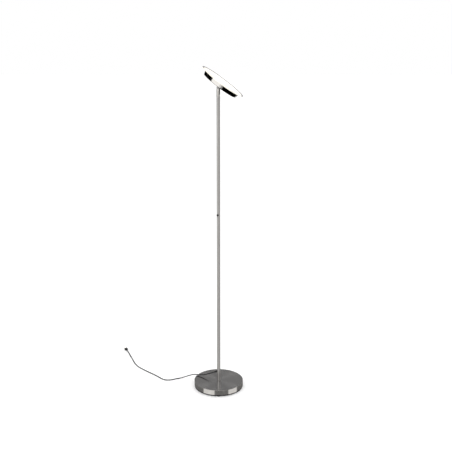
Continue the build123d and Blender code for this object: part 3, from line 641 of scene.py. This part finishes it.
def makeBaseTray(setup):
    low, high = (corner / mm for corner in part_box("base_tray"))
    side, foot, top = high.x, low.z, high.z
    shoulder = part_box("base_cover")[0].z / mm
    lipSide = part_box("base_cover")[1].x / mm - setup["coverWall"] - setup["lipGap"]
    inner, floor, hole = side - setup["trayWall"], setup["trayFloor"], setup["opening"]
    corners = [(hole, foot), (side, foot), (side, shoulder), (lipSide, shoulder), (lipSide, top), (inner, top),
               (inner, foot + floor), (hole, foot + floor)]
    edges = {1: setup["trayEdge"], 2: setup["trayShoulder"], 4: setup["lipEdge"], 5: setup["lipEdge"]}
    lathe("base_tray_pressing", corners, edges, finishes["blackPaint"], "stand", "base_tray",
          count=setup["round"], slot="black_plastic")


def makeFootPads(setup):
    low, high = (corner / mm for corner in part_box("foot_pads"))
    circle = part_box("base_cover")[1].x / mm - setup["padInset"]
    radius, height = setup["padRadius"], high.z - low.z
    edges = {1: setup["padEdge"], 2: setup["padTop"]}
    outline = rounded([(0, 0), (radius, 0), (radius, height), (0, height)], edges) * mm
    grids = []
    for number in range(setup["padCount"]):
        angle = math.radians(90 + 360 * number / setup["padCount"])
        place = (circle * math.cos(angle) * mm, circle * math.sin(angle) * mm, 0)
        grids.append(lathePoints(outline, place, (0, 0, 1), setup["padRound"]))
    addPiece("foot_pads_moulded", gridMesh("foot_pads_moulded", grids), finishes["rubber"], "stand",
             "foot_pads", slot="black_rubber")


makeBaseCover(baseSetup)
makeBaseTray(baseSetup)
makeFootPads(baseSetup)
print("base made")


poleSetup = {
    "radius": 10.0,
    "wall": 1.0,
    "seam": 0.45,  # rounding of each section's ends, which draws a fine dark line at each seam
    "round": 96,
    "sections": ["pole_bottom", "pole_lower", "pole_upper", "pole_top"],
}


def makePoleSection(node, setup):
    low, high = (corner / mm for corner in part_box(node))
    outer, inner = setup["radius"], setup["radius"] - setup["wall"]
    corners = [(inner, low.z), (outer, low.z), (outer, high.z), (inner, high.z)]
    seam = setup["seam"]
    lathe(node + "_tube", corners, {1: seam, 2: seam}, finishes["satin"], "stand", node,
          count=setup["round"], slot="satin_nickel")


for section in poleSetup["sections"]:
    makePoleSection(section, poleSetup)
print("pole made")


dimmerSetup = {
    "turn": 240,  # degrees from +X
    "bezelRadius": 6.6,
    "bezelInner": 7.8,
    "bezelOuter": 11.2,
    "buttonRadius": 5.2,
    "buttonFlange": 6.0,
    "buttonBack": 6.4,
    "buttonFace": 12.6,
    "dimple": 0.35,  # the face is hollowed a little for the finger
    "runningGap": 0.1,
    "flangeGap": 0.05,
    "bezelEdge": 0.7,
    "fineEdge": 0.2,
    "faceEdge": 1.0,
    "round": 96,
}


def makeDimmer(setup):
    low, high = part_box("dimmer_button")
    origin = (0, 0, (low.z + high.z) / 2)
    turn = math.radians(setup["turn"])
    way = (math.cos(turn), math.sin(turn), 0)
    outer, inner = setup["bezelRadius"], setup["buttonRadius"] + setup["runningGap"]
    ring = [(inner, setup["bezelInner"]), (outer, setup["bezelInner"]), (outer, setup["bezelOuter"]),
            (inner, setup["bezelOuter"])]
    fine = setup["fineEdge"]
    lathe("dimmer_bezel_ring", ring, {2: setup["bezelEdge"], 3: fine}, finishes["blackPlastic"], "stand",
          "dimmer_bezel", origin=origin, way=way, count=setup["round"], slot="black_plastic")
    side, face, flange = setup["buttonRadius"], setup["buttonFace"], setup["buttonFlange"]
    front = setup["bezelInner"] - setup["flangeGap"]
    cap = rounded([(0, setup["buttonBack"]), (flange, setup["buttonBack"]), (flange, front), (side, front),
                   (side, face), (0, face - setup["dimple"])], {1: fine, 2: fine, 4: setup["faceEdge"]}) * mm
    mesh = gridMesh("dimmer_button_cap", [lathePoints(cap, origin, way, setup["round"])])
    addPiece("dimmer_button_cap", mesh, finishes["blackPlastic"], "button", "dimmer_button",
             slot="black_plastic")


makeDimmer(dimmerSetup)
print("dimmer made")


# heights are measured from the pivot along the head's own axis
headSetup = {
    "lean": 36.4,  # degrees from level
    "dishFloor": 12.0,
    "dishEdge": 34.0,
    "dishRadius": 110.0,
    "dishFoot": 104.0,
    "dishWall": 1.0,
    "dishCorner": 4.0,
    "dishLip": 0.2,
    "rimRadius": 135.0,
    "rimTop": 43.0,
    "rimEdge": 3.5,
    "rimBore": 107.8,
    "rimLand": 2.0,
    "rimRound": 1.0,
    "landRound": 0.6,
    "paintedShadeBand": 10.0,  # width of the band of painted shade on the rim's upper face
    "opalTop": 41.5,
    "opalRadius": 119.0,
    "opalSpigot": 107.5,
    "opalLow": 32.0,
    "opalWall": 1.8,
    "opalSlack": 0.2,
    "opalEdge": 0.8,
    "opalFoot": 0.3,
    "round": 288,
}


def makeHead(setup):
    pivotPlace = jointPlace("head_tilt")
    lean = math.radians(setup["lean"])
    way = (math.sin(lean), 0, math.cos(lean))
    placed = dict(origin=pivotPlace, way=way, count=setup["round"])
    floor, edge, wall = setup["dishFloor"], setup["dishEdge"], setup["dishWall"]
    foot, mouth, corner = setup["dishFoot"], setup["dishRadius"], setup["dishCorner"]
    dish = [(0, floor), (foot, floor), (mouth, edge), (mouth - wall, edge), (foot - wall, floor + wall),
            (0, floor + wall)]
    lip = setup["dishLip"]
    lathe("head_dish_spinning", dish, {1: corner, 2: lip, 3: lip, 4: corner - wall}, finishes["polished"],
          "head", "head_dish", slot="polished_nickel", **placed)
    rim, top, land, bore = setup["rimRadius"], setup["rimTop"], setup["rimLand"], setup["rimBore"]
    slope = (top - edge - setup["rimEdge"]) / (rim - mouth)
    seat = top - slope * (rim - land - bore)
    # one more point on the upper slope, where the painted shade starts
    band = rim - setup["paintedShadeBand"]
    ring = [(bore, edge), (mouth, edge), (rim, top - setup["rimEdge"]), (rim, top), (rim - land, top),
            (band, top - slope * (rim - land - band)), (bore, seat)]
    edges = {2: setup["rimRound"], 3: setup["rimRound"], 4: setup["landRound"]}
    clear = lathe("clear_rim_ring", ring, edges, [finishes["clear"], finishes["clearPaintedShade"]], "head",
                  "clear_rim", slot="clear_acrylic", **placed)
    # the upper face is painted darker near its edge: painted shade where the light no longer reaches
    mesh = clear.data
    centres = np.zeros(len(mesh.polygons) * 3)
    mesh.polygons.foreach_get("center", centres)
    apart = centres.reshape(-1, 3) - pivotPlace
    outward = np.linalg.norm(apart - np.outer(apart @ way, way), axis=1)
    normals = np.zeros(len(mesh.polygons) * 3)
    mesh.polygons.foreach_get("normal", normals)
    upper = normals.reshape(-1, 3) @ way > 0.3
    paintedShadeFaces = upper & (outward > (rim - setup["paintedShadeBand"]) * mm)
    mesh.polygons.foreach_set("material_index", paintedShadeFaces.astype(np.int32))
    spigot, cover, thick = setup["opalSpigot"], setup["opalRadius"], setup["opalWall"]
    seat = seat + setup["opalSlack"]
    face, under, foot = setup["opalTop"], setup["opalTop"] - thick, setup["opalLow"]
    shell = [(0, face), (cover, face), (cover, seat + slope * (cover - bore)),
             (spigot, seat - slope * (bore - spigot)), (spigot, foot), (spigot - thick, foot),
             (spigot - thick, seat + thick), (spigot - thick + (under - seat - thick) / slope, under),
             (0, under)]
    edges = {1: setup["opalEdge"], 4: setup["opalFoot"], 5: setup["opalFoot"]}
    lathe("opal_cover_moulded", shell, edges, finishes["opal"], "head", "opal_cover",
          slot="opal_acrylic", **placed)


makeHead(headSetup)
refined("tilt_fork", finishes["polished"], "stand", 0.3, "polished_nickel")
refined("tilt_bolt", finishes["turned"], "stand", 0.15, "turned_steel")
refined("tilt_nut", finishes["zinc"], "stand", 0.2, "zinc_steel")
refined("friction_washers", finishes["blackPlastic"], "stand", 0.1, "black_plastic")
refined("tilt_tongue", finishes["turned"], "head", 0.25, "turned_steel")
refined("tongue_rivets", finishes["turned"], "head", 0.25, "turned_steel")
print("head made")


# CAD pieces that keep their shape and get a finish
keptPieces = {
    "castIron": ["base_weight"],
    "zinc": ["tray_screws", "base_washer", "base_bolt", "plate_screws"],
    "turned": ["base_hub", "pole_insert", "coupler_bottom", "coupler_middle", "coupler_top"],
    "blackPlastic": ["dimmer_switch", "terminal_block"],
    "whitePlastic": ["dimmer_housing", "led_driver"],
    "boardGreen": ["dimmer_board"],
    "boardWhite": ["led_board"],
    "led": ["led_chips"],
    "spring": ["dimmer_spring", "cover_clips"],
    "aluminium": ["plate_pillars", "led_plate"],
    "pvc": ["mains_lead", "head_lead"],
}


def finishKept(table):
    for finish, names in table.items():
        for name in names:
            for place in frame["nodes"][name].material_slots:
                place.material = finishes[finish]


finishKept(keptPieces)
print("kept pieces finished")


allRound = (-180, 180)
studio = {
    "floorSize": 30.0,
    "floorColour": "#f4f4f4",
    "floorGlow": 0.14,  # keeps the soft shadow round the base faint
    "skyLight": 1.2,  # even white light on everything that isn't shiny
    "backdrop": 1.0,  # white behind the lamp
    "shinyBase": 0.55,  # what metal mirrors where no panel stands
    # panels that metal mirrors: turn left and right of the front, height above level, in degrees
    "panels": [
        dict(turn=allRound, height=(10, 90), soft=6, light=0.3),
        dict(turn=(100, 142), height=(34, 60), soft=6, light=2.0),
        dict(turn=(-142, -104), height=(34, 60), soft=6, light=1.7),
        dict(turn=(-32, 30), height=(8, 66), soft=4, light=1.5),
        dict(turn=(12, 96), height=(-26, 6), soft=3, light=0.78),
        dict(turn=(-72, -24), height=(-36, 12), soft=2, light=1.5),
        dict(turn=allRound, height=(-33, -25.5), soft=1, light=0.2),
        dict(turn=(-76, -20), height=(-33, -25.5), soft=3, light=1.25),
        dict(turn=(47, 96), height=(-33, -25.5), soft=3, light=1.25),
        dict(turn=(-180, -73), height=(-9, 12), soft=2, light=0.0),
        dict(turn=allRound, height=(-90, -37), soft=1.5, light=0.0),
    ],
}


def windowFactor(tree, value, span, soft):
    # 1 between the two ends, falling to 0 across each end over soft degrees to either side
    low, high = span
    rise = addNode(
        tree, "ShaderNodeMapRange", {"From Min": low - soft, "From Max": low + soft}, {"Value": value},
    )
    fall = addNode(
        tree, "ShaderNodeMapRange",
        {"From Min": high - soft, "From Max": high + soft, "To Min": 1.0, "To Max": 0.0}, {"Value": value},
    )
    both = {0: rise.outputs["Result"], 1: fall.outputs["Result"]}
    return addNode(tree, "ShaderNodeMath", links=both, operation="MULTIPLY").outputs[0]


def makeStudio(setup):
    world = bpy.data.worlds.new("studio")
    world.use_nodes = True
    world.cycles.sampling_method = "NONE"
    scene.world = world
    tree = world.node_tree
    tree.nodes.clear()
    way = addNode(tree, "ShaderNodeTexCoord")
    apart = addNode(tree, "ShaderNodeSeparateXYZ", links={"Vector": way.outputs["Generated"]})
    forward = addNode(tree, "ShaderNodeMath", {1: -1.0}, {0: apart.outputs["Y"]}, operation="MULTIPLY")
    sides = {0: apart.outputs["X"], 1: forward.outputs[0]}
    turn = addNode(tree, "ShaderNodeMath", links=sides, operation="ARCTAN2")
    turn = addNode(tree, "ShaderNodeMath", links={0: turn.outputs[0]}, operation="DEGREES").outputs[0]
    rise = addNode(tree, "ShaderNodeMath", links={0: apart.outputs["Z"]}, operation="ARCSINE")
    rise = addNode(tree, "ShaderNodeMath", links={0: rise.outputs[0]}, operation="DEGREES").outputs[0]
    shiny = addNode(tree, "ShaderNodeValue")
    shiny.outputs[0].default_value = setup["shinyBase"]
    shiny = shiny.outputs[0]
    for panel in setup["panels"]:
        share = windowFactor(tree, rise, panel["height"], panel["soft"])
        if panel["turn"] != allRound:
            across = windowFactor(tree, turn, panel["turn"], panel["soft"])
            both = {0: across, 1: share}
            share = addNode(tree, "ShaderNodeMath", links=both, operation="MULTIPLY").outputs[0]
        mixed = addNode(
            tree, "ShaderNodeMix", {"B": panel["light"]}, {"Factor": share, "A": shiny}, data_type="FLOAT",
        )
        shiny = mixed.outputs["Result"]
    ray = addNode(tree, "ShaderNodeLightPath")
    lit = addNode(
        tree, "ShaderNodeMix", {"A": setup["skyLight"]},
        {"Factor": ray.outputs["Is Glossy Ray"], "B": shiny}, data_type="FLOAT",
    )
    plain = addNode(
        tree, "ShaderNodeMix", {"B": setup["backdrop"]},
        {"Factor": ray.outputs["Is Camera Ray"], "A": lit.outputs["Result"]}, data_type="FLOAT",
    )
    background = addNode(
        tree, "ShaderNodeBackground", {"Color": (1, 1, 1, 1)}, {"Strength": plain.outputs["Result"]},
    )
    addNode(tree, "ShaderNodeOutputWorld", links={"Surface": background.outputs["Background"]})
    scene.view_settings.view_transform = "Standard"


def makeFloor(setup):
    half = setup["floorSize"] / 2
    mesh = bpy.data.meshes.new("floor")
    corners = [(-half, -half, 0), (half, -half, 0), (half, half, 0), (-half, half, 0)]
    mesh.from_pydata(corners, [], [(0, 1, 2, 3)])
    floor = bpy.data.objects.new("floor", mesh)
    scene.collection.objects.link(floor)
    material, _, _ = newSurface(
        "floorPaper", setup["floorColour"], 0.9,
        **{"Emission Color": (1, 1, 1, 1), "Emission Strength": setup["floorGlow"]},
    )
    mesh.materials.append(material)
    floor.visible_glossy = False


makeStudio(studio)
makeFloor(studio)
print("studio made")
